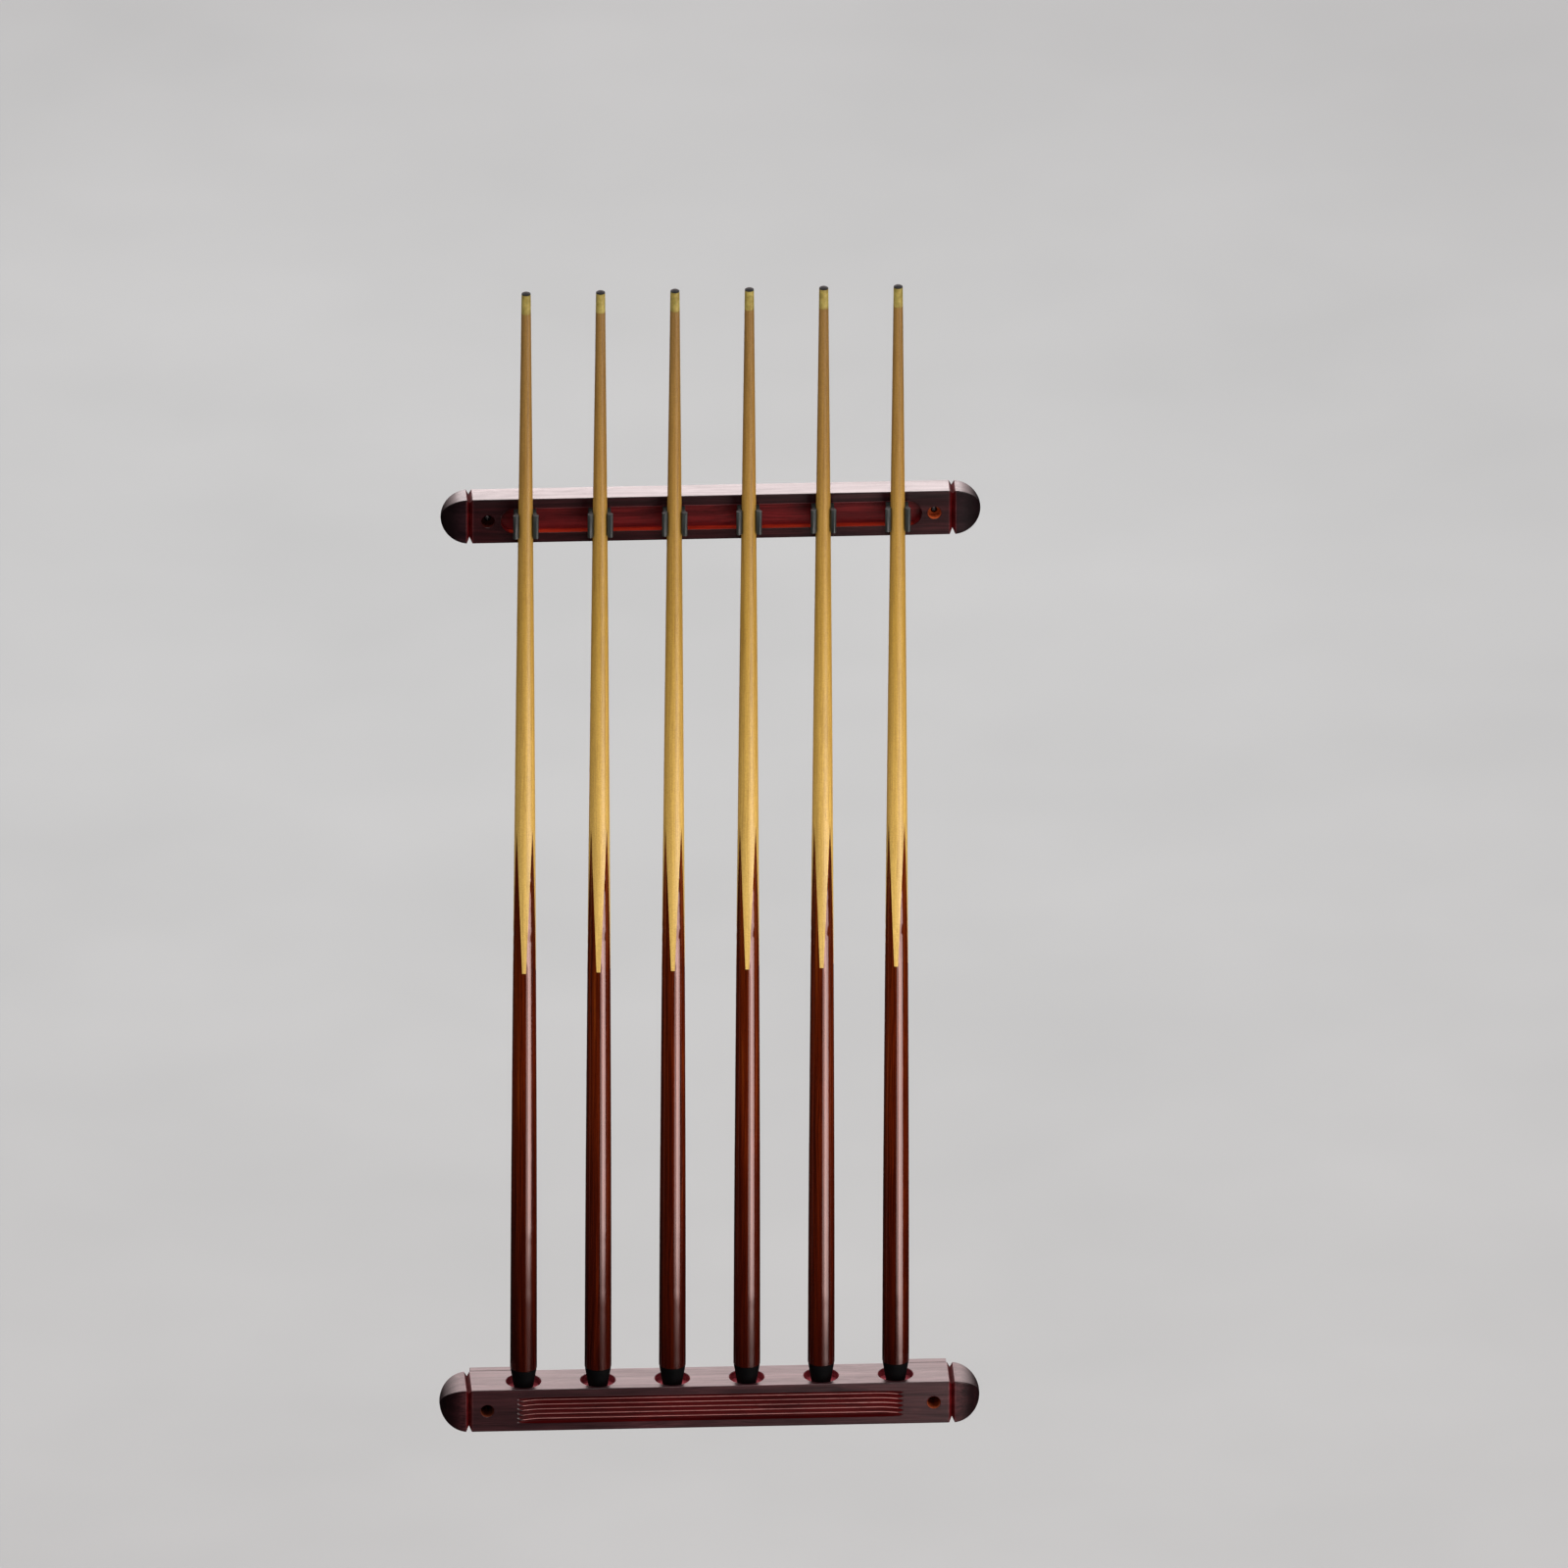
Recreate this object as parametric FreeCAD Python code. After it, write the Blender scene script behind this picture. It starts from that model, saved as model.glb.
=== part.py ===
import FreeCAD, Part
import math
import os

# Wall rack for six cues, in two pieces.
#
# The upper rail carries six moulded spring clips in a routed channel. The
# lower rail has six blind cups, one under each clip, and stands off the wall
# on a spacer block at each end. Each cue stands in a cup with its shaft in a
# clip. Millimetres.
#
# Frame: X along the rails, +Z up, the wall is the plane Y = 0 and the front
# faces -Y. The origin is the centre of the four wall-screw holes.

V = FreeCAD.Vector
os.makedirs("parts", exist_ok=True)

# ---- driving dimensions ---------------------------------------------------
RAIL_GAP = 1150.0          # wall-screw line to wall-screw line, upper to lower
SCREW_SPAN = 533.4         # wall-screw holes, centre to centre along a rail
GROOVE_X = 288.5           # V-groove centre from the middle of the rail
GROOVE_W = 7.0             # V-groove width at the surface
GROOVE_D = 6.2             # V-groove depth
GROOVE_EASE = 0.45         # eased shoulder of the V-groove
CORNER_R = 0.9             # eased long corners of the rails
CREASE_R = 0.6             # eased creases of the rounded ends
RIM_R = 0.6                # eased rim of the channel and of the cups
NOSE = 34.0                # rounded end, from groove centre to tip
NOSE_PLAN = 34.25          # the same end seen from above

UP_H = 57.0                # upper rail height
UP_D = 32.0                # upper rail depth
CHAN_H = 31.5              # clip channel height
CHAN_D = 8.0               # clip channel depth
CHAN_END = 251.5           # channel's rounded end, from the middle

LO_H = 54.0                # lower rail height
LO_D = 57.0                # lower rail block depth
PAD_T = 11.0               # spacer block thickness, wall to lower rail
PAD_R = 0.8                # eased edges of a spacer block
PAD_IN = 222.0             # spacer block inner end, from the middle
PAD_OUT = 284.5            # spacer block outer end, from the middle

PITCH = 88.9               # cue to cue
N_CUES = 6
CUE_Y = -42.2              # cue axis, in front of the wall
CUP_R = 21.0               # cup radius
CUP_DEPTH = 9.0            # cup depth

CBORE_R = 8.0              # counterbore over each wall screw
SCREW_R = 2.6              # clearance hole for a wall screw
UP_CBORE = 11.0            # counterbore depth, upper rail
LO_CBORE = 35.0            # counterbore depth, lower rail

REED_N = 5                 # narrow ridges in the front band of the lower rail
REED_PITCH = 6.12
REED_Z = -0.4              # middle of the band from the middle of the face
REED_VALLEY = 6.2          # depth of the hollows below the face
REED_ROOT = 4.95           # depth where a ridge rises out of a hollow
REED_CREST = 4.4           # depth of the ridge tops below the face
REED_HALF = 0.75           # half width of a ridge at its root
REED_SIDE = 16.2           # end of the outer hollow, from the band's middle
REED_EDGE = 17.0           # band's edge in the face, from the band's middle
REED_RUN = 231.0           # end of the band, from the middle
REED_CUTTER = 85.0         # cutter radius, which shapes the run-out

CLIP_H = 30.0              # clip height
CLIP_BASE = 13.5           # clip half width at its base
CLIP_SEAT = 9.45           # clip seat radius
CLIP_ARM = 12.9            # clip arm, outer half width
CLIP_LIP = 15.2            # clip lip, outer half width
CLIP_MOUTH = 8.2           # half of the mouth between the lips
CLIP_FRONT = 52.2          # clip front, from the wall

# cue outline: height above the lower rail's top face, radius
CUE = [(18.7, 16.00), (110.0, 15.84), (200.0, 15.60), (300.0, 15.20),
       (400.0, 14.68), (500.0, 14.08), (600.0, 13.42), (700.0, 12.70),
       (800.0, 11.90), (900.0, 11.04), (1000.0, 10.10), (1100.0, 9.08),
       (1200.0, 7.98), (1300.0, 6.84), (1360.0, 6.18), (1400.0, 5.80)]
SPLICE_LOW = 540.0         # blunt end of the maple points
SPLICE_HIGH = 765.0        # above the tips of the dark prongs
SPLICE_W0 = 2.3            # half width of a maple point at its blunt end
SPLICE_SLOPE = 0.0378      # growth of that half width per mm, front and back points
SPLICE_SLOPE_SIDE = 0.0318 # the same for the two side points
SPLICE_TURN = -5.0         # the splice is turned this far about the cue, degrees
FERRULE_TOP = 1424.8
FERRULE_R = 5.50
TENON_R = 3.97
TENON_L = 20.0
TIP_TOP = 1427.8
TIP_R = 5.40
BUTT_END = 18.7            # lower end of the butt
BUMPER_TOP_R = 15.60
BUMPER_LOW_R = 12.10
BUMPER_SCREW_R = 2.10
BUMPER_HEAD_R = 5.0

Z_UP = RAIL_GAP / 2.0
Z_LO = -RAIL_GAP / 2.0
Z_RIM = Z_LO + LO_H / 2.0
CUE_X = [(i - (N_CUES - 1) / 2.0) * PITCH for i in range(N_CUES)]


def save(shape, name):
    bad = [s for s in (shape.Solids or [shape]) if not s.isValid() or s.Volume <= 0]
    print("%-26s solids %d  volume %10.1f  %s" % (
        name, len(shape.Solids), shape.Volume, "BAD" if bad or not shape.Solids else "ok"))
    shape.exportStep("parts/%s.step" % name)


def poly_face(points):
    return Part.Face(Part.makePolygon(list(points) + [points[0]]))


def bar(half_flat, semi_x, half_b, plane, mid, thick, offset):
    """A bar with half-elliptical ends. plane 'xz': the outline is seen from
    the front and goes back by thick from y = offset. plane 'xy': the outline
    is seen from above and goes up by thick from z = offset."""
    if plane == "xz":
        p = lambda a, b: V(a, offset, mid + b)
        n, out = V(0, -1, 0), V(0, thick, 0)
    else:
        p = lambda a, b: V(a, mid + b, offset)
        n, out = V(0, 0, 1), V(0, 0, thick)
    def half_ellipse(sign):
        centre = p(sign * half_flat, 0)
        if semi_x >= half_b:
            e = Part.Ellipse(p(sign * (half_flat + semi_x), 0), p(sign * half_flat, half_b), centre)
        else:
            e = Part.Ellipse(p(sign * half_flat, half_b), p(sign * (half_flat + semi_x), 0), centre)
        a = e.parameter(p(sign * half_flat, half_b))
        m = e.parameter(p(sign * (half_flat + semi_x), 0))
        b = e.parameter(p(sign * half_flat, -half_b))
        for lo, hi in ((a, b), (b, a)):
            if hi <= lo:
                hi += 2 * math.pi
            mm = m
            while mm < lo:
                mm += 2 * math.pi
            if lo < mm < hi:
                return Part.ArcOfEllipse(e, lo, hi).toShape()
    edges = [half_ellipse(1), half_ellipse(-1),
             Part.makeLine(p(-half_flat, half_b), p(half_flat, half_b)),
             Part.makeLine(p(-half_flat, -half_b), p(half_flat, -half_b))]
    wire = Part.Wire(Part.__sortEdges__(edges))
    return Part.Face(wire).extrude(out)


def rail_blank(z_mid, height, y_back, depth):
    """Square-edged rail with both ends rounded in elevation and in plan, and
    a V-groove across the top, the front and the underside before each end."""
    y_front = y_back - depth
    front = bar(GROOVE_X, NOSE, height / 2, "xz", z_mid, depth, y_front)
    above = bar(GROOVE_X, NOSE_PLAN, depth / 2, "xy", (y_back + y_front) / 2, height,
                z_mid - height / 2)
    blank = front.common(above)
    w, d, q = GROOVE_W / 2, GROOVE_D, GROOVE_EASE
    e = 2.0                                     # the cutter stands this proud
    # V outline with eased shoulders: (along the rail, below the surface)
    outline = [(-w - q, -e), (w + q, -e), (w + q, 0), (w - q * w / d, q), (0, d), (-w + q * w / d, q), (-w - q, 0)]
    for sx in (-1, 1):
        x = sx * GROOVE_X
        top = z_mid + height / 2
        bot = z_mid - height / 2
        cut_t = poly_face([V(x + a, y_front - 5, top - b) for a, b in outline]).extrude(V(0, depth + 10, 0))
        cut_b = poly_face([V(x + a, y_front - 5, bot + b) for a, b in outline]).extrude(V(0, depth + 10, 0))
        cut_f = poly_face([V(x + a, y_front + b, bot - 5) for a, b in outline]).extrude(V(0, 0, height + 10))
        blank = blank.cut(cut_t.fuse(cut_b).fuse(cut_f))
    # the long corners and the creases of the rounded ends are eased
    long_edges = [g for g in blank.Edges if g.BoundBox.XLength > 500
                  and g.BoundBox.YLength < 0.1 and g.BoundBox.ZLength < 0.1]
    blank = blank.makeFillet(CORNER_R, long_edges)
    creases = [g for g in blank.Edges if 20 < g.BoundBox.XLength < 40
               and g.BoundBox.ZLength > 0.5 * height]
    if creases:
        blank = blank.makeFillet(CREASE_R, creases)
    return blank


def drill_y(x, z, r, y0, y1):
    """Cylinder along Y from y0 to y1 (y1 > y0)."""
    return Part.makeCylinder(r, y1 - y0, V(x, y0, z), V(0, 1, 0))


# ---- upper rail -----------------------------------------------------------
upper = rail_blank(Z_UP, UP_H, 0.0, UP_D)
cr = CHAN_H / 2
flat = CHAN_END - cr
chan_edges = [
    Part.makeLine(V(-flat, -UP_D - 1, Z_UP + cr), V(flat, -UP_D - 1, Z_UP + cr)),
    Part.Arc(V(flat, -UP_D - 1, Z_UP + cr), V(flat + cr, -UP_D - 1, Z_UP),
             V(flat, -UP_D - 1, Z_UP - cr)).toShape(),
    Part.makeLine(V(flat, -UP_D - 1, Z_UP - cr), V(-flat, -UP_D - 1, Z_UP - cr)),
    Part.Arc(V(-flat, -UP_D - 1, Z_UP - cr), V(-flat - cr, -UP_D - 1, Z_UP),
             V(-flat, -UP_D - 1, Z_UP + cr)).toShape()]
channel = Part.Face(Part.Wire(chan_edges)).extrude(V(0, CHAN_D + 1, 0))
upper = upper.cut(channel)
rim = [g for g in upper.Edges if abs(g.BoundBox.YMin + UP_D) < 0.05 and abs(g.BoundBox.YMax + UP_D) < 0.05
       and g.BoundBox.ZMin > Z_UP - cr - 0.1 and g.BoundBox.ZMax < Z_UP + cr + 0.1]
upper = upper.makeFillet(RIM_R, rim)
CLIP_SCREW_R = 1.75
CLIP_SCREW_DEEP = 12.0
floor_y = -(UP_D - CHAN_D)
for x in CUE_X:
    upper = upper.cut(drill_y(x, Z_UP, CLIP_SCREW_R + 0.05, floor_y - 1, floor_y + CLIP_SCREW_DEEP + 0.5))
for sx in (-1, 1):
    x = sx * SCREW_SPAN / 2
    upper = upper.cut(drill_y(x, Z_UP, CBORE_R, -UP_D - 1, -UP_D + UP_CBORE))
    upper = upper.cut(Part.makeCone(CBORE_R + 1.4, CBORE_R, 1.4, V(x, -UP_D - 1, Z_UP), V(0, 1, 0)))
    upper = upper.cut(drill_y(x, Z_UP, SCREW_R, -UP_D - 1, 1))
save(upper, "upper_rail")

# ---- lower rail -----------------------------------------------------------
LO_BACK = -PAD_T
LO_FRONT = LO_BACK - LO_D
lower = rail_blank(Z_LO, LO_H, LO_BACK, LO_D)
for x in CUE_X:
    lower = lower.cut(Part.makeCylinder(CUP_R, CUP_DEPTH + 1, V(x, CUE_Y, Z_RIM - CUP_DEPTH)))
    lower = lower.cut(Part.makeCone(CUP_R, CUP_R + RIM_R + 1, RIM_R + 1, V(x, CUE_Y, Z_RIM - RIM_R)))
for sx in (-1, 1):
    x = sx * SCREW_SPAN / 2
    lower = lower.cut(drill_y(x, Z_LO, CBORE_R, LO_FRONT - 1, LO_FRONT + LO_CBORE))
    lower = lower.cut(Part.makeCone(CBORE_R + 1.4, CBORE_R, 1.4, V(x, LO_FRONT - 1, Z_LO), V(0, 1, 0)))
    lower = lower.cut(drill_y(x, Z_LO, SCREW_R, LO_FRONT - 1, LO_BACK + 1))

# Reeded band: a cutter leaves five narrow rounded ridges between six hollows,
# and its round shape carries it out of the wood at both ends.
def reed_section(to_point):
    """Outline of the wood that the cutter takes away. to_point(depth, dz)
    gives the point at that depth below the face and dz from the middle."""
    P = to_point
    edges = [Part.makeLine(P(-3.0, -REED_EDGE), P(0, -REED_EDGE)),
             Part.makeLine(P(0, -REED_EDGE), P(REED_ROOT, -REED_SIDE))]
    start = -REED_SIDE
    for k in range(REED_N + 1):
        z = (k - (REED_N - 1) / 2) * REED_PITCH
        stop = z - REED_HALF if k < REED_N else REED_SIDE
        edges.append(Part.Arc(P(REED_ROOT, start), P(REED_VALLEY, (start + stop) / 2),
                              P(REED_ROOT, stop)).toShape())
        if k < REED_N:
            edges.append(Part.Arc(P(REED_ROOT, stop), P(REED_CREST, z), P(REED_ROOT, z + REED_HALF)).toShape())
            start = z + REED_HALF
    edges.append(Part.makeLine(P(REED_ROOT, REED_SIDE), P(0, REED_EDGE)))
    edges.append(Part.makeLine(P(0, REED_EDGE), P(-3.0, REED_EDGE)))
    edges.append(Part.makeLine(P(-3.0, REED_EDGE), P(-3.0, -REED_EDGE)))
    return Part.Face(Part.Wire(edges))

run = math.sqrt(REED_CUTTER ** 2 - (REED_CUTTER - REED_VALLEY) ** 2)
disc_x = REED_RUN - run
disc_y = LO_FRONT - (REED_CUTTER - REED_VALLEY)
section = reed_section(lambda d, z: V(-disc_x, LO_FRONT + d, Z_LO + REED_Z + z))
cutter = section.extrude(V(2 * disc_x, 0, 0))
left = section.revolve(V(-disc_x, disc_y, 0), V(0, 0, 1), 30)
section_r = reed_section(lambda d, z: V(disc_x, LO_FRONT + d, Z_LO + REED_Z + z))
right = section_r.revolve(V(disc_x, disc_y, 0), V(0, 0, 1), -30)
lower = lower.cut(cutter.fuse(left).fuse(right))

# Spacer blocks between the lower rail and the wall, held by two countersunk
# screws each, driven from the back.
SPACER_SCREWS = [(236.0, -15.0), (275.0, 15.0)]
PS_R, PS_HEAD, PS_LEN = 1.75, 3.6, 24.0
pads = {}
spacer_screws = []
for sx, side in ((-1, "left"), (1, "right")):
    x0, x1 = sorted((sx * PAD_IN, sx * PAD_OUT))
    pad = Part.makeBox(x1 - x0, PAD_T, LO_H, V(x0, -PAD_T, Z_LO - LO_H / 2))
    pad = pad.makeFillet(PAD_R, pad.Edges)
    pad = pad.cut(drill_y(sx * SCREW_SPAN / 2, Z_LO, SCREW_R, -PAD_T - 1, 1))
    for px, pz in SPACER_SCREWS:
        x, z = sx * px, Z_LO + pz
        pad = pad.cut(drill_y(x, z, PS_R + 0.05, -PAD_T - 1, 1))
        pad = pad.cut(Part.makeCone(PS_HEAD + 1.05, PS_R + 0.05, PS_HEAD + 1 - PS_R, V(x, 1, z), V(0, -1, 0)))
        lower = lower.cut(drill_y(x, z, PS_R + 0.05, -PS_LEN - 0.6, -PAD_T + 1))
        head = Part.makeCone(PS_HEAD, PS_R, PS_HEAD - PS_R, V(x, 0, z), V(0, -1, 0))
        shank = drill_y(x, z, PS_R, -PS_LEN + 3, -(PS_HEAD - PS_R))
        point = Part.makeCone(PS_R, 0.2, 3.0, V(x, -PS_LEN + 3, z), V(0, -1, 0))
        s = head.fuse(shank).fuse(point).removeSplitter()
        for a in (0, 90):
            slot = Part.makeBox(4.0, 1.6, 0.9, V(x - 2.0, -1.2, z - 0.45))
            slot.rotate(V(x, 0, z), V(0, 1, 0), a)
            s = s.cut(slot)
        spacer_screws.append(s)
    pads[side] = pad
save(lower, "lower_rail")
save(pads["left"], "left_spacer_block")
save(pads["right"], "right_spacer_block")
save(Part.makeCompound(spacer_screws), "spacer_screws")

# ---- clips ----------------------------------------------------------------
back = UP_D - CHAN_D                      # channel floor, distance from the wall
seat_v = -CUE_Y
ang = math.acos(CLIP_MOUTH / CLIP_SEAT)
throat_v = seat_v + CLIP_SEAT * math.sin(ang)
HEAD_V = back + 4.0                       # the screw head bears here


def clip_solid(xc):
    def p(u, v):
        return V(xc + u, -v, Z_UP - CLIP_H / 2)
    def arc(a, b, c):
        return Part.Arc(p(*a), p(*b), p(*c)).toShape()
    def line(a, b):
        return Part.makeLine(p(*a), p(*b))
    e = []
    r = 1.2
    k = r * (1 - math.sqrt(0.5))
    e.append(line((-CLIP_BASE + r, back), (CLIP_BASE - r, back)))
    for s in (1, -1):
        side = []
        side.append(arc((s * (CLIP_BASE - r), back), (s * (CLIP_BASE - k), back + k), (s * CLIP_BASE, back + r)))
        side.append(line((s * CLIP_BASE, back + r), (s * CLIP_BASE, back + 4.6)))
        side.append(arc((s * CLIP_BASE, back + 4.6), (s * (CLIP_ARM + 0.16), back + 6.6), (s * CLIP_ARM, back + 9.0)))
        side.append(line((s * CLIP_ARM, back + 9.0), (s * CLIP_ARM, seat_v + 1.5)))
        side.append(arc((s * CLIP_ARM, seat_v + 1.5), (s * (CLIP_ARM + 0.62), seat_v + 3.9), (s * (CLIP_LIP - 0.25), seat_v + 6.0)))
        side.append(arc((s * (CLIP_LIP - 0.25), seat_v + 6.0), (s * (CLIP_LIP - 0.35), CLIP_FRONT - 1.35), (s * (CLIP_LIP - 2.6), CLIP_FRONT)))
        side.append(arc((s * (CLIP_LIP - 2.6), CLIP_FRONT), (s * (CLIP_MOUTH + 1.75), CLIP_FRONT - 1.0), (s * CLIP_MOUTH, throat_v + 1.2)))
        side.append(line((s * CLIP_MOUTH, throat_v + 1.2), (s * CLIP_MOUTH, throat_v)))
        e += side
    e.append(arc((CLIP_MOUTH, throat_v), (0, seat_v - CLIP_SEAT), (-CLIP_MOUTH, throat_v)))
    wire = Part.Wire(Part.__sortEdges__(e))
    body = Part.Face(wire).extrude(V(0, 0, CLIP_H))
    body = body.cut(drill_y(xc, Z_UP, CLIP_SCREW_R + 0.10, -HEAD_V - 6, -back + 1))
    body = body.cut(drill_y(xc, Z_UP, 4.3, -HEAD_V - 8, -HEAD_V))
    return body


clip_screws = []
for i, x in enumerate(CUE_X):
    save(clip_solid(x), "clip_%d" % (i + 1))
    # pan head, cross recess, shank and point
    prof = [V(0, 0, 0), V(4.0, 0, 0), V(4.0, 0, 1.0)]
    head_wire = Part.Wire([Part.makeLine(V(0, 0, 0), V(4.0, 0, 0)),
                           Part.makeLine(V(4.0, 0, 0), V(4.0, 0, 1.0)),
                           Part.Arc(V(4.0, 0, 1.0), V(2.6, 0, 2.1), V(0, 0, 2.5)).toShape(),
                           Part.makeLine(V(0, 0, 2.5), V(0, 0, 0))])
    head = Part.Face(head_wire).revolve(V(0, 0, 0), V(0, 0, 1), 360)
    head.rotate(V(0, 0, 0), V(1, 0, 0), 90)          # the head's top faces -Y
    head.translate(V(x, -HEAD_V, Z_UP))
    tip_y = floor_y + CLIP_SCREW_DEEP
    shank = drill_y(x, Z_UP, CLIP_SCREW_R, -HEAD_V, tip_y - 3.0)
    point = Part.makeCone(CLIP_SCREW_R, 0.2, 3.0, V(x, tip_y - 3.0, Z_UP), V(0, 1, 0))
    s = head.fuse(shank).fuse(point)
    for a in (0, 90):
        slot = Part.makeBox(4.2, 2.0, 0.9, V(x - 2.1, -HEAD_V - 3.0, Z_UP - 0.45))
        slot.rotate(V(x, 0, Z_UP), V(0, 1, 0), a)
        s = s.cut(slot)
    clip_screws.append(s)
save(Part.makeCompound(clip_screws), "clip_screws")

# ---- cues -----------------------------------------------------------------
def radius_at(h):
    for (h0, r0), (h1, r1) in zip(CUE, CUE[1:]):
        if h0 <= h <= h1:
            return r0 + (r1 - r0) * (h - h0) / (h1 - h0)
    raise ValueError(h)


def turned(points):
    """Solid of revolution about Z from (radius, height) points."""
    pts = [V(r, 0, h) for r, h in points]
    return poly_face(pts).revolve(V(0, 0, 0), V(0, 0, 1), 360)


def cue_profile(h0, h1):
    inner = [(h, r) for h, r in CUE if h0 < h < h1]
    side = [(radius_at(h0), h0)] + [(r, h) for h, r in inner] + [(radius_at(h1), h1)]
    return [(0, h0)] + side + [(0, h1)]


def half_w(h, slope=SPLICE_SLOPE):
    return SPLICE_W0 + slope * (h - SPLICE_LOW)


def wedge(sx, sy, lo, hi, far=20.0):
    """Corner region beyond the two slanted splice planes."""
    a, b = half_w(lo), half_w(hi)
    c, d = half_w(lo, SPLICE_SLOPE_SIDE), half_w(hi, SPLICE_SLOPE_SIDE)
    P = lambda x, y, z: V(sx * x, sy * y, z)
    bottom = [P(a, c, lo), P(far, c, lo), P(far, far, lo), P(a, far, lo)]
    top = [P(b, d, hi), P(far, d, hi), P(far, far, hi), P(b, far, hi)]
    faces = [poly_face(bottom), poly_face(top)]
    for i in range(4):
        j = (i + 1) % 4
        faces.append(poly_face([bottom[i], bottom[j], top[j], top[i]]))
    solid = Part.makeSolid(Part.makeShell(faces))
    if solid.Volume < 0:
        solid.reverse()
    return solid


def slab(along_x, lo, hi, far=20.0):
    """Tapered slab that holds two opposite maple points."""
    slope = SPLICE_SLOPE_SIDE if along_x else SPLICE_SLOPE
    a, b = half_w(lo, slope), half_w(hi, slope)
    sec = poly_face([V(-a, 0, lo), V(a, 0, lo), V(b, 0, hi), V(-b, 0, hi)])
    solid = sec.extrude(V(0, 2 * far, 0))
    solid.translate(V(0, -far, 0))
    if along_x:
        solid.rotate(V(0, 0, 0), V(0, 0, 1), 90)
    return solid


FLOOR = -CUP_DEPTH + 0.05                      # the bumper's lower face
butt_body = turned(cue_profile(BUTT_END, SPLICE_HIGH))
cross = slab(False, SPLICE_LOW, SPLICE_HIGH + 5).fuse(slab(True, SPLICE_LOW, SPLICE_HIGH + 5))
butt = butt_body.cut(cross)
butt = butt.cut(Part.makeCylinder(BUMPER_SCREW_R + 0.05, 30.5, V(0, 0, BUTT_END - 0.5)))

shaft = turned(cue_profile(SPLICE_LOW, CUE[-1][0]))
for sx in (-1, 1):
    for sy in (-1, 1):
        shaft = shaft.cut(wedge(sx, sy, SPLICE_LOW - 0.0, SPLICE_HIGH + 5))
tenon_base = CUE[-1][0]
shaft = shaft.fuse(Part.makeCylinder(TENON_R, TENON_L + 5.0, V(0, 0, tenon_base - 5.0)))

ferrule = turned([(TENON_R + 0.03, tenon_base), (CUE[-1][1] - 0.03, tenon_base),
                  (FERRULE_R, FERRULE_TOP), (0, FERRULE_TOP),
                  (0, tenon_base + TENON_L + 0.1), (TENON_R + 0.03, tenon_base + TENON_L + 0.1)])

sag = TIP_TOP - FERRULE_TOP - 1.1
dome_r = (TIP_R ** 2 + sag ** 2) / (2 * sag)
tip = Part.makeCylinder(TIP_R, TIP_TOP - FERRULE_TOP + 1, V(0, 0, FERRULE_TOP)).common(
    Part.makeSphere(dome_r, V(0, 0, TIP_TOP - dome_r)))

bumper = turned([(BUMPER_SCREW_R + 0.05, BUTT_END), (BUMPER_TOP_R - 0.6, BUTT_END),
                 (BUMPER_TOP_R, BUTT_END - 0.8), (BUMPER_TOP_R - 0.25, BUTT_END - 3.5),
                 (BUMPER_LOW_R, -4.0), (BUMPER_LOW_R - 0.5, FLOOR + 2.0),
                 (BUMPER_LOW_R - 1.1, FLOOR + 0.6), (BUMPER_LOW_R - 2.2, FLOOR),
                 (BUMPER_HEAD_R + 0.6, FLOOR), (BUMPER_HEAD_R + 0.6, 2.0),
                 (BUMPER_SCREW_R + 0.05, 2.0)])
b_screw = turned([(0, -1.2), (BUMPER_HEAD_R - 1.0, -1.2), (BUMPER_HEAD_R, 0.0), (BUMPER_HEAD_R, 2.0),
                  (BUMPER_SCREW_R, 2.0), (BUMPER_SCREW_R, BUTT_END + 26.0), (0.2, BUTT_END + 29.5),
                  (0, BUTT_END + 29.5)])
for a in (0, 90):
    slot = Part.makeBox(5.2, 1.1, 1.8, V(-2.6, -0.55, -1.3))
    slot.rotate(V(0, 0, 0), V(0, 0, 1), a)
    b_screw = b_screw.cut(slot)

for i, x in enumerate(CUE_X):
    for name, shape in (("tip", tip), ("ferrule", ferrule), ("shaft", shaft), ("butt", butt),
                        ("bumper", bumper), ("bumper_screw", b_screw)):
        s = shape.copy()
        s.rotate(V(0, 0, 0), V(0, 0, 1), SPLICE_TURN)
        s.translate(V(x, CUE_Y, Z_RIM))
        save(s, "cue_%d_%s" % (i + 1, name))
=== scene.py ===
import math

import bpy
from mathutils import Matrix, Vector

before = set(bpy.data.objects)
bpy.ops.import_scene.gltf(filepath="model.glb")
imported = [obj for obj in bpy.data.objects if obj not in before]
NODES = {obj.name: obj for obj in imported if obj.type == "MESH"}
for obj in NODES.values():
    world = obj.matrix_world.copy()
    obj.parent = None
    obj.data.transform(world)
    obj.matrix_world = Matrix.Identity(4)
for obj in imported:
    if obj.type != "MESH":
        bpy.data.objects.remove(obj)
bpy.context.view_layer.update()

N_CUES = 6
PITCH = 0.0889
CUE_X = [(i - 2.5) * PITCH for i in range(N_CUES)]
CUE_Y = -0.0422
Z_UP, Z_LO, Z_RIM = 0.575, -0.575, -0.548

# ---------------------------------------------------------------------------
# node helpers
# ---------------------------------------------------------------------------


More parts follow.
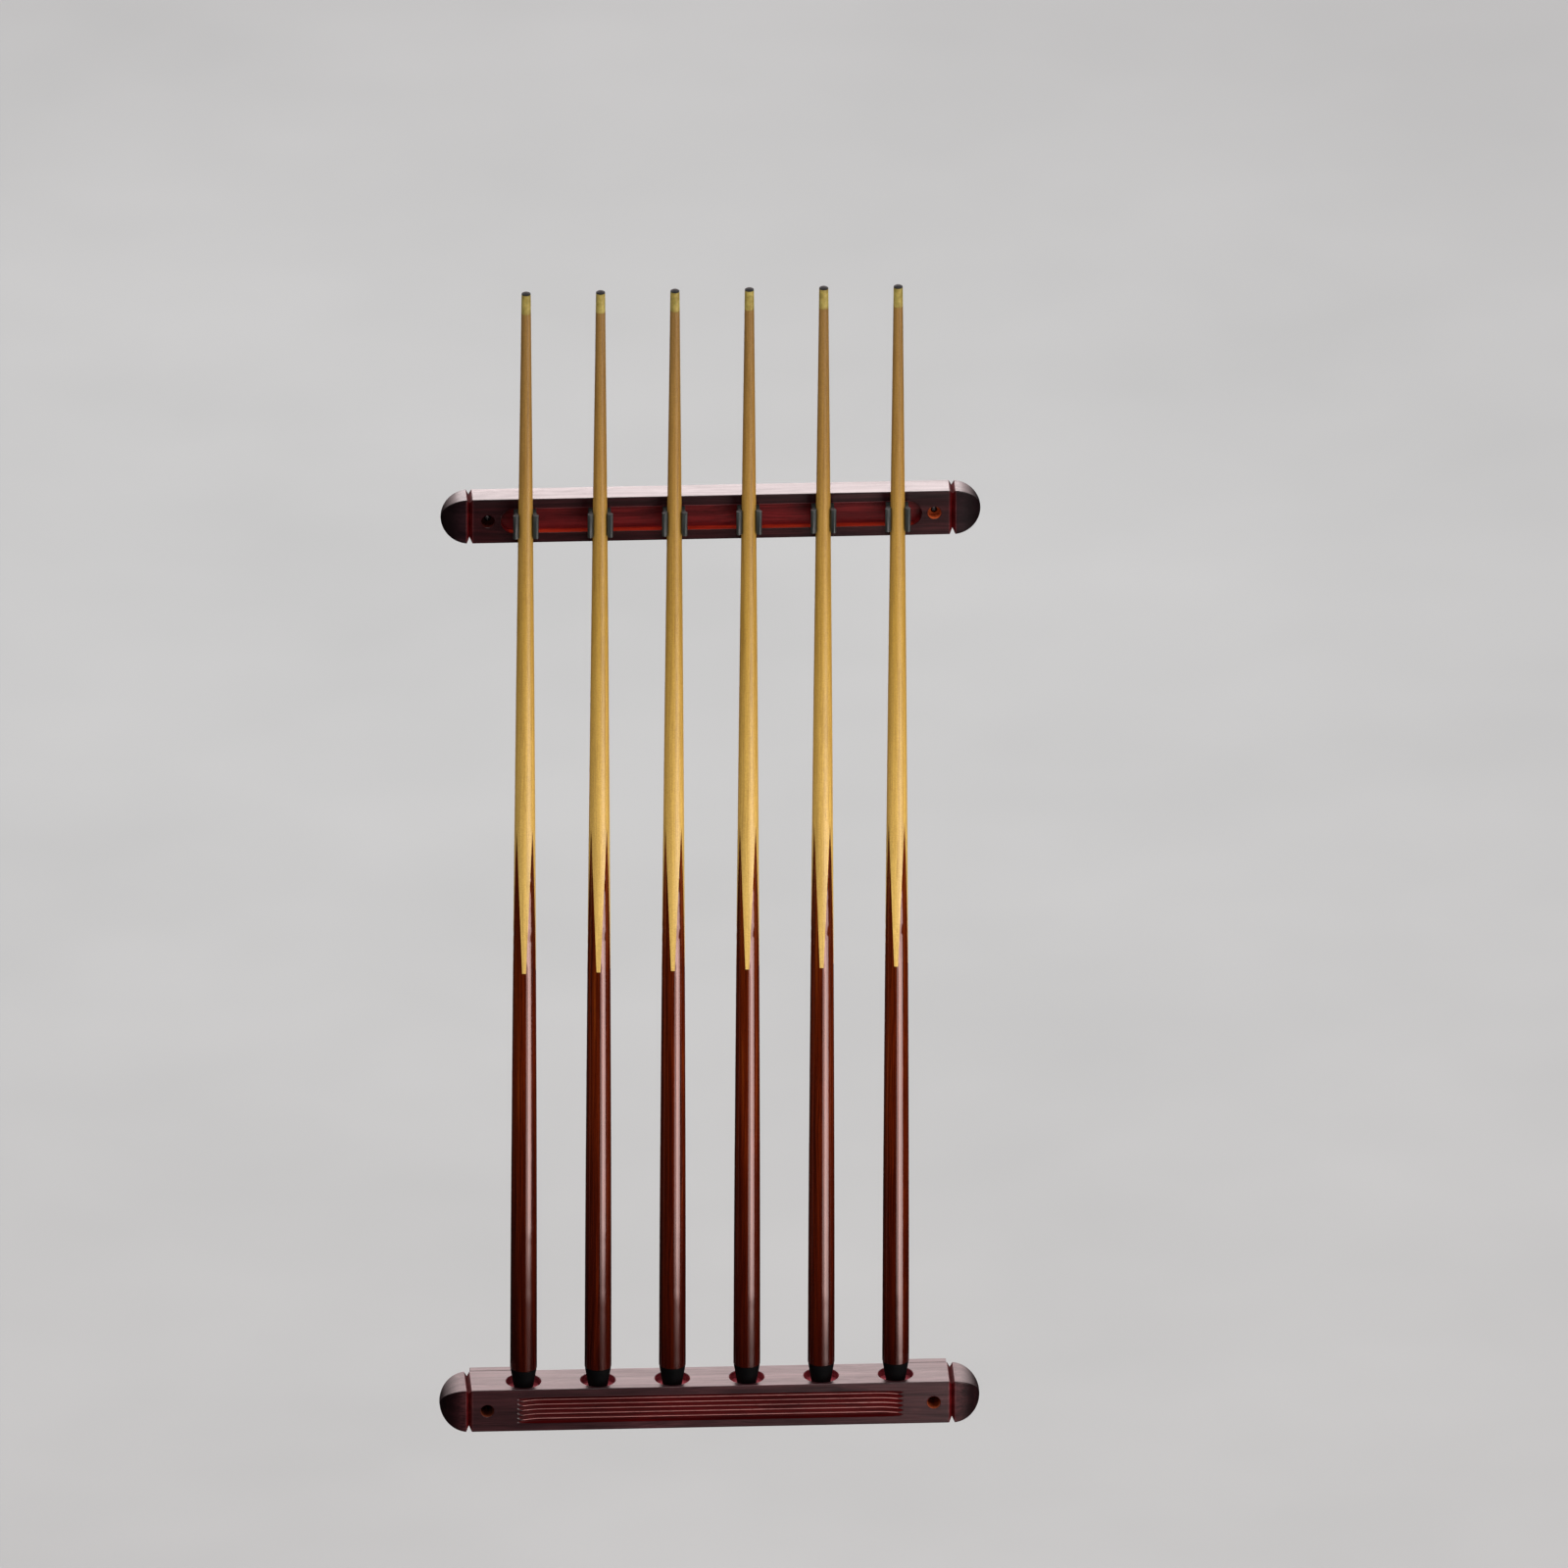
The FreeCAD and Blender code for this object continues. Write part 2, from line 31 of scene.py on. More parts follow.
class Graph:
    """Short names for the shader nodes that the materials are made of."""

    def __init__(self, name):
        self.mat = bpy.data.materials.new(name)
        self.mat.use_nodes = True
        self.tree = self.mat.node_tree
        self.tree.nodes.clear()
        out = self.tree.nodes.new("ShaderNodeOutputMaterial")
        self.bsdf = self.tree.nodes.new("ShaderNodeBsdfPrincipled")
        self.tree.links.new(self.bsdf.outputs[0], out.inputs[0])

    def put(self, socket, value):
        if isinstance(value, bpy.types.NodeSocket):
            self.tree.links.new(value, socket)
        else:
            socket.default_value = value

    def set(self, **values):
        for key, value in values.items():
            self.put(self.bsdf.inputs[key.replace("_", " ")], value)

    def position(self):
        return self.tree.nodes.new("ShaderNodeTexCoord").outputs["Object"]

    def split(self, vector):
        n = self.tree.nodes.new("ShaderNodeSeparateXYZ")
        self.put(n.inputs[0], vector)
        return n.outputs[0], n.outputs[1], n.outputs[2]

    def join(self, x, y, z):
        n = self.tree.nodes.new("ShaderNodeCombineXYZ")
        for s, v in zip(n.inputs, (x, y, z)):
            self.put(s, v)
        return n.outputs[0]

    def math(self, op, a, b=0.0, c=0.0, clamp=False):
        n = self.tree.nodes.new("ShaderNodeMath")
        n.operation = op
        n.use_clamp = clamp
        for s, v in zip(n.inputs, (a, b, c)):
            self.put(s, v)
        return n.outputs[0]

    def vmath(self, op, a, b):
        n = self.tree.nodes.new("ShaderNodeVectorMath")
        n.operation = op
        self.put(n.inputs[0], a)
        self.put(n.inputs[1], b)
        return n.outputs["Value"] if op in ("LENGTH", "DISTANCE", "DOT_PRODUCT") else n.outputs[0]

    def stretch(self, vector, x, y, z, off=(0, 0, 0)):
        n = self.tree.nodes.new("ShaderNodeVectorMath")
        n.operation = "MULTIPLY_ADD"
        self.put(n.inputs[0], vector)
        n.inputs[1].default_value = (x, y, z)
        n.inputs[2].default_value = off
        return n.outputs[0]

    def noise(self, vector, scale=1.0, detail=2.0, rough=0.5, bend=0.0):
        n = self.tree.nodes.new("ShaderNodeTexNoise")
        n.noise_dimensions = "3D"
        self.put(n.inputs["Vector"], vector)
        n.inputs["Scale"].default_value = scale
        n.inputs["Detail"].default_value = detail
        n.inputs["Roughness"].default_value = rough
        n.inputs["Distortion"].default_value = bend
        return n.outputs[0]

    def voronoi(self, vector, scale=1.0, feature="F1"):
        n = self.tree.nodes.new("ShaderNodeTexVoronoi")
        n.feature = feature
        self.put(n.inputs["Vector"], vector)
        n.inputs["Scale"].default_value = scale
        return n.outputs[0]

    def smooth(self, value, lo, hi, out_lo=0.0, out_hi=1.0):
        n = self.tree.nodes.new("ShaderNodeMapRange")
        n.interpolation_type = "SMOOTHSTEP"
        n.clamp = True
        self.put(n.inputs["Value"], value)
        flip = lo > hi
        n.inputs["From Min"].default_value = min(lo, hi)
        n.inputs["From Max"].default_value = max(lo, hi)
        n.inputs["To Min"].default_value = out_hi if flip else out_lo
        n.inputs["To Max"].default_value = out_lo if flip else out_hi
        return n.outputs[0]

    def linear(self, value, lo, hi, out_lo=0.0, out_hi=1.0):
        n = self.tree.nodes.new("ShaderNodeMapRange")
        n.clamp = True
        self.put(n.inputs["Value"], value)
        n.inputs["From Min"].default_value = lo
        n.inputs["From Max"].default_value = hi
        n.inputs["To Min"].default_value = out_lo
        n.inputs["To Max"].default_value = out_hi
        return n.outputs[0]

    def ramp(self, fac, stops, mode="LINEAR"):
        n = self.tree.nodes.new("ShaderNodeValToRGB")
        n.color_ramp.interpolation = mode
        self.put(n.inputs[0], fac)
        el = n.color_ramp.elements
        while len(el) > 1:
            el.remove(el[-1])
        el[0].position, el[0].color = stops[0][0], (*stops[0][1], 1)
        for p, c in stops[1:]:
            e = el.new(p)
            e.color = (*c, 1)
        return n.outputs[0]

    def mix(self, fac, a, b, mode="MIX"):
        n = self.tree.nodes.new("ShaderNodeMix")
        n.data_type = "RGBA"
        n.blend_type = mode
        self.put(n.inputs[0], fac)
        for s, v in ((n.inputs[6], a), (n.inputs[7], b)):
            self.put(s, v if isinstance(v, bpy.types.NodeSocket) else (*v, 1))
        return n.outputs[2]

    def bump(self, height, distance, strength=1.0, normal=None):
        n = self.tree.nodes.new("ShaderNodeBump")
        n.inputs["Strength"].default_value = strength
        n.inputs["Distance"].default_value = distance
        self.put(n.inputs["Height"], height)
        if normal is not None:
            self.put(n.inputs["Normal"], normal)
        return n.outputs[0]


def lin(r, g, b):
    """Linear colour from 0-255 display values."""
    return tuple(((c / 255) / 12.92) if c <= 10.31 else (((c / 255) + 0.055) / 1.055) ** 2.4 for c in (r, g, b))


# ---------------------------------------------------------------------------
# materials
# ---------------------------------------------------------------------------


def rail_wood(kind):
    """Red-stained wood under a dark toner and satin lacquer. The toner was
    sprayed from outside, so machined recesses stay redder and clearer."""
    g = Graph("rail_wood_" + kind)
    p = g.position()
    x, y, z = g.split(p)
    if kind == "upper":
        off = (3.1, 7.7, 1.3)
    elif kind == "lower":
        off = (11.9, 2.3, 5.1)
    else:
        off = (6.4, 15.2, 9.9)

    # slow wander of the grain, then figure, fibre and pores stretched along X
    wander = g.noise(g.stretch(p, 5.0, 14.0, 14.0, off), 1.0, 2.0, 0.5)
    wy = g.math("MULTIPLY_ADD", wander, 0.016, y)
    wz = g.math("MULTIPLY_ADD", wander, -0.022, z)
    q = g.join(x, wy, wz)
    figure = g.noise(g.stretch(q, 4.5, 150.0, 150.0, off), 1.0, 3.0, 0.55, 0.25)
    fibre = g.noise(g.stretch(q, 16.0, 900.0, 900.0, off), 1.0, 3.0, 0.62)
    pore = g.noise(g.stretch(q, 130.0, 2300.0, 2300.0, off), 1.0, 1.0, 0.5)
    pores = g.smooth(pore, 0.62, 0.72)
    grain = g.math("ADD", g.math("MULTIPLY", figure, 0.55), g.math("MULTIPLY", fibre, 0.45))

    toner = g.ramp(grain, [(0.30, lin(20, 7, 9)), (0.46, lin(34, 13, 16)),
                           (0.56, lin(44, 18, 21)), (0.70, lin(60, 28, 31))])
    stain = g.ramp(grain, [(0.30, lin(50, 5, 8)), (0.47, lin(80, 11, 14)),
                           (0.60, lin(100, 20, 21)), (0.75, lin(124, 38, 33))])

    ax = g.math("ABSOLUTE", x)
    if kind == "upper":
        # the body of this rail is redder than its rounded ends
        tint = g.mix(g.smooth(ax, 0.2920, 0.2940), (0.72, 0.28, 0.36), (0.52, 0.74, 0.80))
        toner = g.mix(1.0, toner, tint, "MULTIPLY")
    # V-grooves: stained inside, with painted shade darkening the bottom of the V, and paler along their shoulders
    groove = g.math("ABSOLUTE", g.math("SUBTRACT", ax, 0.2885))
    recess = g.smooth(groove, 0.0031, 0.0023)
    vee_painted_shade = g.smooth(groove, 0.0034, 0.0022)
    shoulder_paler = g.math("MULTIPLY", g.smooth(groove, 0.0030, 0.0036), g.smooth(groove, 0.0048, 0.0040))
    raw = ridge_painted_highlight = None
    if kind in ("upper", "lower"):
        zc = Z_UP if kind == "upper" else Z_LO
        face = -0.032 if kind == "upper" else -0.068
        dz = g.math("SUBTRACT", z, zc)
        adz = g.math("ABSOLUTE", dz)
        depth = g.math("SUBTRACT", y, face)
        inside = g.math("MULTIPLY", g.smooth(depth, 0.0002, 0.0010),
                        g.smooth(y, -0.0030 if kind == "upper" else -0.0125,
                                 -0.0060 if kind == "upper" else -0.0150))
        if kind == "upper":
            run = g.math("MAXIMUM", g.math("SUBTRACT", ax, 0.2515 - 0.01575), 0.0)
            away = g.vmath("LENGTH", g.join(run, dz, 0.0), (0, 0, 0))
            cut = g.smooth(away, 0.0168, 0.0161)
        else:
            bz = g.math("ADD", dz, 0.0004)
            cut = g.math("MULTIPLY", g.smooth(g.math("ABSOLUTE", bz), 0.0174, 0.0168),
                         g.smooth(ax, 0.234, 0.2300))
            cut = g.math("MULTIPLY", cut, g.smooth(depth, 0.0090, 0.0075))
            # painted highlight: the tops of the five ridges are painted paler; painted shade: the stain in the fluted
            # band is darkened so the hollows stay dark
            off_ridge = g.math("PINGPONG", bz, 0.00306)
            ridge_painted_highlight = g.math("MULTIPLY", g.smooth(off_ridge, 0.00050, 0.00018), g.smooth(g.math("ABSOLUTE", bz), 0.0140, 0.0135))
            ridge_painted_highlight = g.math("MULTIPLY", g.math("MULTIPLY", ridge_painted_highlight, cut), g.smooth(depth, 0.0002, 0.0010))
            stain = g.mix(cut, stain, g.mix(1.0, stain, (0.38, 0.10, 0.13), "MULTIPLY"))
        recess = g.math("MAXIMUM", recess, g.math("MULTIPLY", cut, inside))
        # screw holes: bare, lightly coloured wood
        hole = g.vmath("LENGTH", g.join(g.math("SUBTRACT", ax, 0.2667), dz, 0.0), (0, 0, 0))
        raw = g.math("MULTIPLY", g.smooth(hole, 0.0096, 0.0084), g.smooth(depth, 0.0000, 0.0012))
        raw = g.math("MULTIPLY", raw, g.smooth(y, -0.0195, -0.0200) if kind == "upper" else g.smooth(y, -0.0310, -0.0320))
        if kind == "lower":
            near = g.math("SUBTRACT", g.math("PINGPONG", x, PITCH / 2), PITCH / 2)
            cup = g.vmath("LENGTH", g.join(near, g.math("SUBTRACT", y, CUE_Y), 0.0), (0, 0, 0))
            down = g.math("SUBTRACT", Z_RIM, z)
            low = g.math("MULTIPLY", g.smooth(down, 0.0001, 0.0008), g.smooth(down, 0.0099, 0.0094))
            cups = g.math("MULTIPLY", g.smooth(cup, 0.0220, 0.0213), low)
            cups = g.math("MULTIPLY", cups, g.smooth(ax, 0.2450, 0.2440))
            recess = g.math("MAXIMUM", recess, cups)
    # painted shade: the stain inside the V is darkened
    stain = g.mix(vee_painted_shade, stain, g.mix(1.0, stain, (0.66, 0.52, 0.56), "MULTIPLY"))
    colour = g.mix(recess, toner, stain)
    colour = g.mix(g.math("MULTIPLY", shoulder_paler, 0.28), colour, g.ramp(grain, [(0.32, lin(70, 22, 24)), (0.55, lin(112, 52, 54)), (0.72, lin(140, 84, 82))]))
    if kind == "upper":
        # painted light: the channel's lower wall, which faces up, is painted a lit orange red, and a painted highlight
        # line runs along its upper edge
        lit_wall_painted_light = g.math("MULTIPLY", g.smooth(dz, -0.0138, -0.0153), g.math("MULTIPLY", cut, inside))
        colour = g.mix(g.math("MULTIPLY", lit_wall_painted_light, 0.80), colour, g.ramp(grain, [(0.35, lin(112, 18, 10)), (0.60, lin(158, 44, 20))]))
        # painted highlight along the channel's upper edge
        edge_painted_highlight = g.math("MULTIPLY", g.smooth(g.math("ABSOLUTE", g.math("SUBTRACT", dz, 0.0159)), 0.0008, 0.0004), g.smooth(ax, 0.2370, 0.2350))
        edge_painted_highlight = g.math("MULTIPLY", edge_painted_highlight, g.smooth(depth, 0.0016, 0.0008))
        colour = g.mix(g.math("MULTIPLY", edge_painted_highlight, 0.6), colour, lin(118, 62, 64))
    if kind == "lower":
        colour = g.mix(cups, colour, g.ramp(grain, [(0.32, lin(128, 34, 46)), (0.55, lin(176, 72, 84)), (0.72, lin(204, 116, 120))]))
        # painted highlight: pale lines along the ridge tops
        colour = g.mix(ridge_painted_highlight, colour, g.ramp(grain, [(0.32, lin(126, 78, 76)), (0.55, lin(158, 112, 108)), (0.72, lin(180, 138, 132))]))
    # darker shading towards the rounded tips
    tips = g.smooth(ax, 0.2930, 0.3120)
    colour = g.mix(g.math("MULTIPLY", tips, 0.80), colour, lin(10, 5, 6))
    if kind == "lower":
        # rubbed streaks on the noses next to the groove
        rub = g.math("MULTIPLY", g.smooth(ax, 0.2925, 0.2940), g.smooth(ax, 0.3060, 0.2945))
        rub = g.math("MULTIPLY", rub, g.smooth(g.math("ADD", fibre, g.math("MULTIPLY", pore, 0.25)), 0.52, 0.74))
        colour = g.mix(g.math("MULTIPLY", rub, 0.05), colour, lin(142, 100, 100))
    if raw is not None:
        bare = g.ramp(grain, [(0.30, lin(120, 42, 20)), (0.50, lin(176, 82, 42)), (0.72, lin(206, 126, 72))])
        # the upper left hole took more stain than the upper right one
        strength = g.linear(x, -0.1, 0.1, 0.03, 0.85) if kind == "upper" else g.linear(x, -0.1, 0.1, 0.22, 0.45)
        colour = g.mix(g.math("MULTIPLY", raw, strength), colour, bare)
        # painted shade: the clearance hole is painted nearly black inside
        hole_painted_shade = g.smooth(hole, 0.0046, 0.0034)
        colour = g.mix(hole_painted_shade, colour, lin(10, 4, 3))
    colour = g.mix(g.math("MULTIPLY", pores, 0.55), colour, lin(12, 3, 5))
    blot = g.noise(g.stretch(p, 9.0, 26.0, 26.0, off), 1.0, 3.0, 0.55)
    colour = g.mix(1.0, colour, g.ramp(blot, [(0.35, (0.72, 0.70, 0.70)), (0.65, (1.18, 1.12, 1.12))]), "MULTIPLY")

    rough = g.linear(g.math("ADD", g.math("MULTIPLY", fibre, 0.7), g.math("MULTIPLY", blot, 0.3)), 0.3, 0.7, 0.36, 0.52)
    rough = g.math("ADD", rough, g.math("MULTIPLY", recess, 0.10))
    height = g.math("ADD", g.math("MULTIPLY", fibre, 0.5), g.math("MULTIPLY", figure, 0.35))
    height = g.math("SUBTRACT", height, g.math("MULTIPLY", pores, 0.8))
    soft = g.bump(height, 0.00016, 0.55)
    film = g.bump(g.math("ADD", fibre, g.math("MULTIPLY", blot, 2.0)), 0.00010, 0.35)
    coat = g.linear(g.math("ADD", g.math("MULTIPLY", fibre, 0.6), g.math("MULTIPLY", figure, 0.4)), 0.34, 0.66, 0.46, 0.92)
    if kind == "lower":
        band = g.math("MULTIPLY", cut, g.smooth(depth, 0.0002, 0.0010))
        coat = g.math("MULTIPLY", coat, g.linear(g.math("SUBTRACT", band, ridge_painted_highlight), 0.0, 1.0, 1.0, 0.12))
    if kind in ("upper", "lower"):
        # the film is thinner on the front of the rails and of their noses
        nose = g.smooth(ax, 0.2905, 0.2935)
        # on a rounded end only the curved top keeps its full film
        reach = g.math("MINIMUM", g.math("DIVIDE", g.math("MAXIMUM", g.math("SUBTRACT", ax, 0.2885), 0.0), 0.034), 0.999)
        arch = g.math("SQRT", g.math("SUBTRACT", 1.0, g.math("MULTIPLY", reach, reach)))
        arch = g.math("MULTIPLY", arch, 0.0285 if kind == "upper" else 0.0270)
        top = g.smooth(g.math("SUBTRACT", arch, dz), 0.0022, 0.0008)
        crown = g.split(g.mix(nose, g.join(g.smooth(dz, 0.0140, 0.0255), 0.0, 0.0), g.join(top, 0.0, 0.0)))[0]
        low_coat = g.mix(nose, (1.0, 0, 0) if kind == "lower" else (0.50, 0, 0), (0.09, 0, 0) if kind == "lower" else (0.14, 0, 0))
        high_coat = g.mix(nose, (1.0, 0, 0), (0.80, 0, 0))
        thin = g.mix(crown, low_coat, high_coat)
        coat = g.math("MULTIPLY", coat, g.split(thin)[0])
    coat = g.math("MULTIPLY", coat, g.smooth(ax, 0.2960, 0.3165, 1.0, 0.18))
    coat = g.math("MULTIPLY", coat, g.linear(recess, 0.0, 1.0, 1.0, 0.70))
    if raw is not None:
        coat = g.math("MULTIPLY", coat, g.smooth(hole, 0.0070, 0.0096))
    g.set(Base_Color=colour, Roughness=rough, Normal=soft, Coat_Normal=film, Coat_Weight=coat)
    g.set(Coat_Roughness=0.28, Coat_IOR=1.5, IOR=1.5, Specular_IOR_Level=0.04)
    return g.mat


def maple(kind="shaft"):
    """Straight-grained maple under clear gloss lacquer; painted light and shade make it paler towards the splice and
    darker towards the tip.
    """
    g = Graph("cue_maple")
    p = g.position()
    x, y, z = g.split(p)
    wander = g.noise(g.stretch(p, 22.0, 22.0, 3.5), 1.0, 2.0, 0.5)
    wx = g.math("MULTIPLY_ADD", wander, 0.010, x)
    wy = g.math("MULTIPLY_ADD", wander, -0.008, y)
    q = g.join(wx, wy, z)
    fibre = g.noise(g.stretch(q, 1300.0, 1300.0, 9.0), 1.0, 3.0, 0.6)
    figure = g.noise(g.stretch(q, 330.0, 330.0, 3.2), 1.0, 2.0, 0.5)
    fleck = g.noise(g.stretch(p, 420.0, 420.0, 780.0), 1.0, 2.0, 0.5)
    dash = g.smooth(g.noise(g.stretch(q, 2600.0, 2600.0, 60.0), 1.0, 1.0, 0.5), 0.60, 0.72)
    # painted light and shade: the colour runs from pale near the splice to darker up the shaft
    up = g.linear(z, -0.05, 0.84)
    base_painted_light_shade = g.ramp(up, [(0.0, lin(199, 168, 92)), (0.28, lin(190, 156, 78)), (0.55, lin(166, 132, 55)),
                       (0.80, lin(140, 106, 47)), (1.0, lin(124, 94, 47))])
    tone = g.math("ADD", g.math("MULTIPLY", fibre, 0.55), g.math("MULTIPLY", figure, 0.45))
    colour = g.mix(1.0, base_painted_light_shade, g.ramp(tone, [(0.32, (0.66, 0.60, 0.50)), (0.50, (0.95, 0.93, 0.90)),
                                            (0.68, (1.16, 1.14, 1.10))]), "MULTIPLY")
    colour = g.mix(1.0, colour, g.ramp(fleck, [(0.38, (0.90, 0.88, 0.84)), (0.60, (1.04, 1.04, 1.03))]), "MULTIPLY")
    colour = g.mix(g.math("MULTIPLY", dash, 0.35), colour, lin(104, 62, 24))
    rough = g.linear(fibre, 0.3, 0.7, 0.34, 0.46)
    g.set(Base_Color=colour, Roughness=rough, Normal=g.bump(fibre, 0.00005, 0.4))
    g.set(Coat_Weight=0.3, Coat_Roughness=0.34, Coat_IOR=1.5, IOR=1.5, Specular_IOR_Level=0.25)
    return g.mat


def butt_wood():
    """Red-brown stained hardwood butt under gloss lacquer."""
    g = Graph("cue_dark_wood")
    p = g.position()
    x, y, z = g.split(p)
    wander = g.noise(g.stretch(p, 18.0, 18.0, 3.0), 1.0, 2.0, 0.5)
    wx = g.math("MULTIPLY_ADD", wander, 0.012, x)
    wy = g.math("MULTIPLY_ADD", wander, -0.010, y)
    q = g.join(wx, wy, z)
    fibre = g.noise(g.stretch(q, 1000.0, 1000.0, 8.0, (4, 9, 2)), 1.0, 3.0, 0.6)
    figure = g.noise(g.stretch(q, 230.0, 230.0, 3.0, (8, 1, 6)), 1.0, 2.0, 0.5)
    pores = g.smooth(g.noise(g.stretch(q, 2600.0, 2600.0, 95.0), 1.0, 1.0, 0.5), 0.62, 0.71)
    tone = g.math("ADD", g.math("MULTIPLY", fibre, 0.5), g.math("MULTIPLY", figure, 0.5))
    colour = g.ramp(tone, [(0.30, lin(34, 5, 0)), (0.45, lin(60, 12, 0)), (0.57, lin(84, 25, 2)), (0.72, lin(110, 48, 8))])
    # painted shade: the butt is painted darker towards its bottom end and slightly lighter near its top
    low = g.linear(z, -0.55, 0.12)
    colour = g.mix(1.0, colour, g.ramp(low, [(0.0, (0.22, 0.10, 0.10)), (0.22, (0.50, 0.36, 0.32)), (0.62, (0.92, 0.88, 0.80)), (1.0, (1.10, 1.24, 1.0))]), "MULTIPLY")
    colour = g.mix(g.math("MULTIPLY", pores, 0.6), colour, lin(16, 4, 2))
    g.set(Base_Color=colour, Roughness=g.linear(fibre, 0.3, 0.7, 0.115, 0.150), Normal=g.bump(figure, 0.00004, 0.3))
    g.set(Coat_Weight=0.10, Coat_Roughness=0.08, Coat_IOR=1.5, IOR=1.5, Specular_IOR_Level=0.56, Specular_Tint=(1.0, 0.74, 0.70, 1.0))
    return g.mat


def ferrule_plastic():
    g = Graph("ferrule_plastic")
    p = g.position()
    x, y, z = g.split(p)
    cloud = g.noise(p, 160.0, 3.0, 0.55)
    rings = g.noise(g.stretch(p, 60.0, 60.0, 2600.0), 1.0, 2.0, 0.5)
    up = g.linear(z, 0.8520, 0.8768)
    colour = g.ramp(cloud, [(0.35, lin(122, 106, 48)), (0.65, lin(150, 134, 70))])
    colour = g.mix(1.0, colour, g.ramp(up, [(0.0, (0.72, 0.66, 0.55)), (0.05, (0.98, 0.98, 0.97)), (0.92, (1.02, 1.02, 1.0)),
                                            (1.0, (0.74, 0.76, 0.80))]), "MULTIPLY")
    g.set(Base_Color=colour, Roughness=g.linear(rings, 0.35, 0.65, 0.30, 0.42), Normal=g.bump(rings, 0.00003, 0.4))
    g.set(Subsurface_Weight=0.12, Subsurface_Scale=0.002, IOR=1.49)
    return g.mat


def tip_leather():
    g = Graph("tip_leather")
    p = g.position()
    x, y, z = g.split(p)
    cells = g.voronoi(p, 2600.0)
    nap = g.noise(p, 3600.0, 4.0, 0.65)
    layers = g.noise(g.stretch(p, 40.0, 40.0, 5200.0), 1.0, 2.0, 0.5)
    colour = g.ramp(g.math("ADD", g.math("MULTIPLY", nap, 0.6), g.math("MULTIPLY", layers, 0.4)),
                    [(0.35, lin(5, 5, 6)), (0.55, lin(11, 11, 13)), (0.75, lin(26, 27, 31))])
    height = g.math("ADD", nap, g.math("MULTIPLY", cells, 0.8))
    g.set(Base_Color=colour, Roughness=g.linear(nap, 0.3, 0.7, 0.70, 0.95), Normal=g.bump(height, 0.00012, 0.8))
    g.set(Sheen_Weight=0.15, Sheen_Roughness=0.5, Specular_IOR_Level=0.3)
    return g.mat


def bumper_rubber():
    g = Graph("bumper_rubber")
    p = g.position()
    fine = g.noise(p, 2200.0, 3.0, 0.6)
    dust = g.noise(p, 130.0, 4.0, 0.6)
    colour = g.ramp(g.math("ADD", g.math("MULTIPLY", fine, 0.4), g.math("MULTIPLY", dust, 0.6)),
                    [(0.35, lin(0, 1, 1)), (0.60, lin(2, 2, 3)), (0.80, lin(7, 7, 7))])
    g.set(Base_Color=colour, Roughness=g.linear(dust, 0.3, 0.7, 0.62, 0.84), Normal=g.bump(fine, 0.00008, 0.6))
    g.set(Specular_IOR_Level=0.06)
    return g.mat


def clip_plastic():
    g = Graph("clip_plastic")
    p = g.position()
    fine = g.noise(p, 2600.0, 3.0, 0.6)
    flow = g.noise(g.stretch(p, 90.0, 90.0, 35.0), 1.0, 3.0, 0.55)
    colour = g.ramp(flow, [(0.35, lin(24, 28, 27)), (0.55, lin(31, 36, 35)), (0.70, lin(42, 47, 45))])
    g.set(Base_Color=colour, Roughness=g.linear(g.math("ADD", g.math("MULTIPLY", fine, 0.4), g.math("MULTIPLY", flow, 0.6)), 0.35, 0.65, 0.36, 0.52),
          Normal=g.bump(fine, 0.00006, 0.45))
    g.set(IOR=1.52)
    return g.mat


def zinc_steel():
    g = Graph("screw_steel")
    p = g.position()
    grain = g.noise(p, 2500.0, 3.0, 0.6)
    cloud = g.noise(p, 420.0, 3.0, 0.6)
    colour = g.ramp(cloud, [(0.35, lin(150, 150, 152)), (0.65, lin(196, 196, 192))])
    g.set(Base_Color=colour, Roughness=g.linear(grain, 0.35, 0.65, 0.26, 0.44), Normal=g.bump(grain, 0.00004, 0.4))
    g.set(Metallic=1.0)
    return g.mat


def assign(names, material):
    for n in names:
        o = NODES[n]
        o.data.materials.clear()
        o.data.materials.append(material)


assign(["upper_rail"], rail_wood("upper"))
assign(["lower_rail"], rail_wood("lower"))
assign(["left_spacer_block", "right_spacer_block"], rail_wood("block"))
assign(["clip_%d" % (i + 1) for i in range(N_CUES)], clip_plastic())
assign(["spacer_screws", "clip_screws"] + ["cue_%d_bumper_screw" % (i + 1) for i in range(N_CUES)], zinc_steel())
for part, material in (("shaft", maple()), ("butt", butt_wood()), ("ferrule", ferrule_plastic()),
                       ("tip", tip_leather()), ("bumper", bumper_rubber())):
    assign(["cue_%d_%s" % (i + 1, part) for i in range(N_CUES)], material)

# moulded clips: small rounded corners
for i in range(N_CUES):
    o = NODES["clip_%d" % (i + 1)]
    weld = o.modifiers.new("weld", "WELD")
    weld.merge_threshold = 0.00002
    bev = o.modifiers.new("bevel", "BEVEL")
    bev.width = 0.00045
    bev.segments = 3
    bev.limit_method = "ANGLE"
    bev.angle_limit = math.radians(38)
    bev.harden_normals = True

# ---------------------------------------------------------------------------
# floor, light and camera
# ---------------------------------------------------------------------------
FLOOR_Z = -1.35
bpy.ops.mesh.primitive_plane_add(size=1, location=(0, 0, FLOOR_Z))
floor = bpy.context.object
floor.name = "studio_floor"
floor.scale = (120, 120, 1)
g = Graph("studio_floor")
p = g.position()
g.set(Base_Color=g.ramp(g.noise(g.stretch(p, 120, 120, 120), 1.4, 3.0, 0.6), [(0.3, lin(162, 168, 168)), (0.7, lin(168, 174, 174))]),
      Roughness=0.9, Specular_IOR_Level=0.1)
floor.data.materials.append(g.mat)
floor.visible_glossy = False

scene = bpy.context.scene
scene.view_settings.view_transform = "Standard"
scene.view_settings.look = "None"

SKY, SKY_BACK = 0.42, 3.9
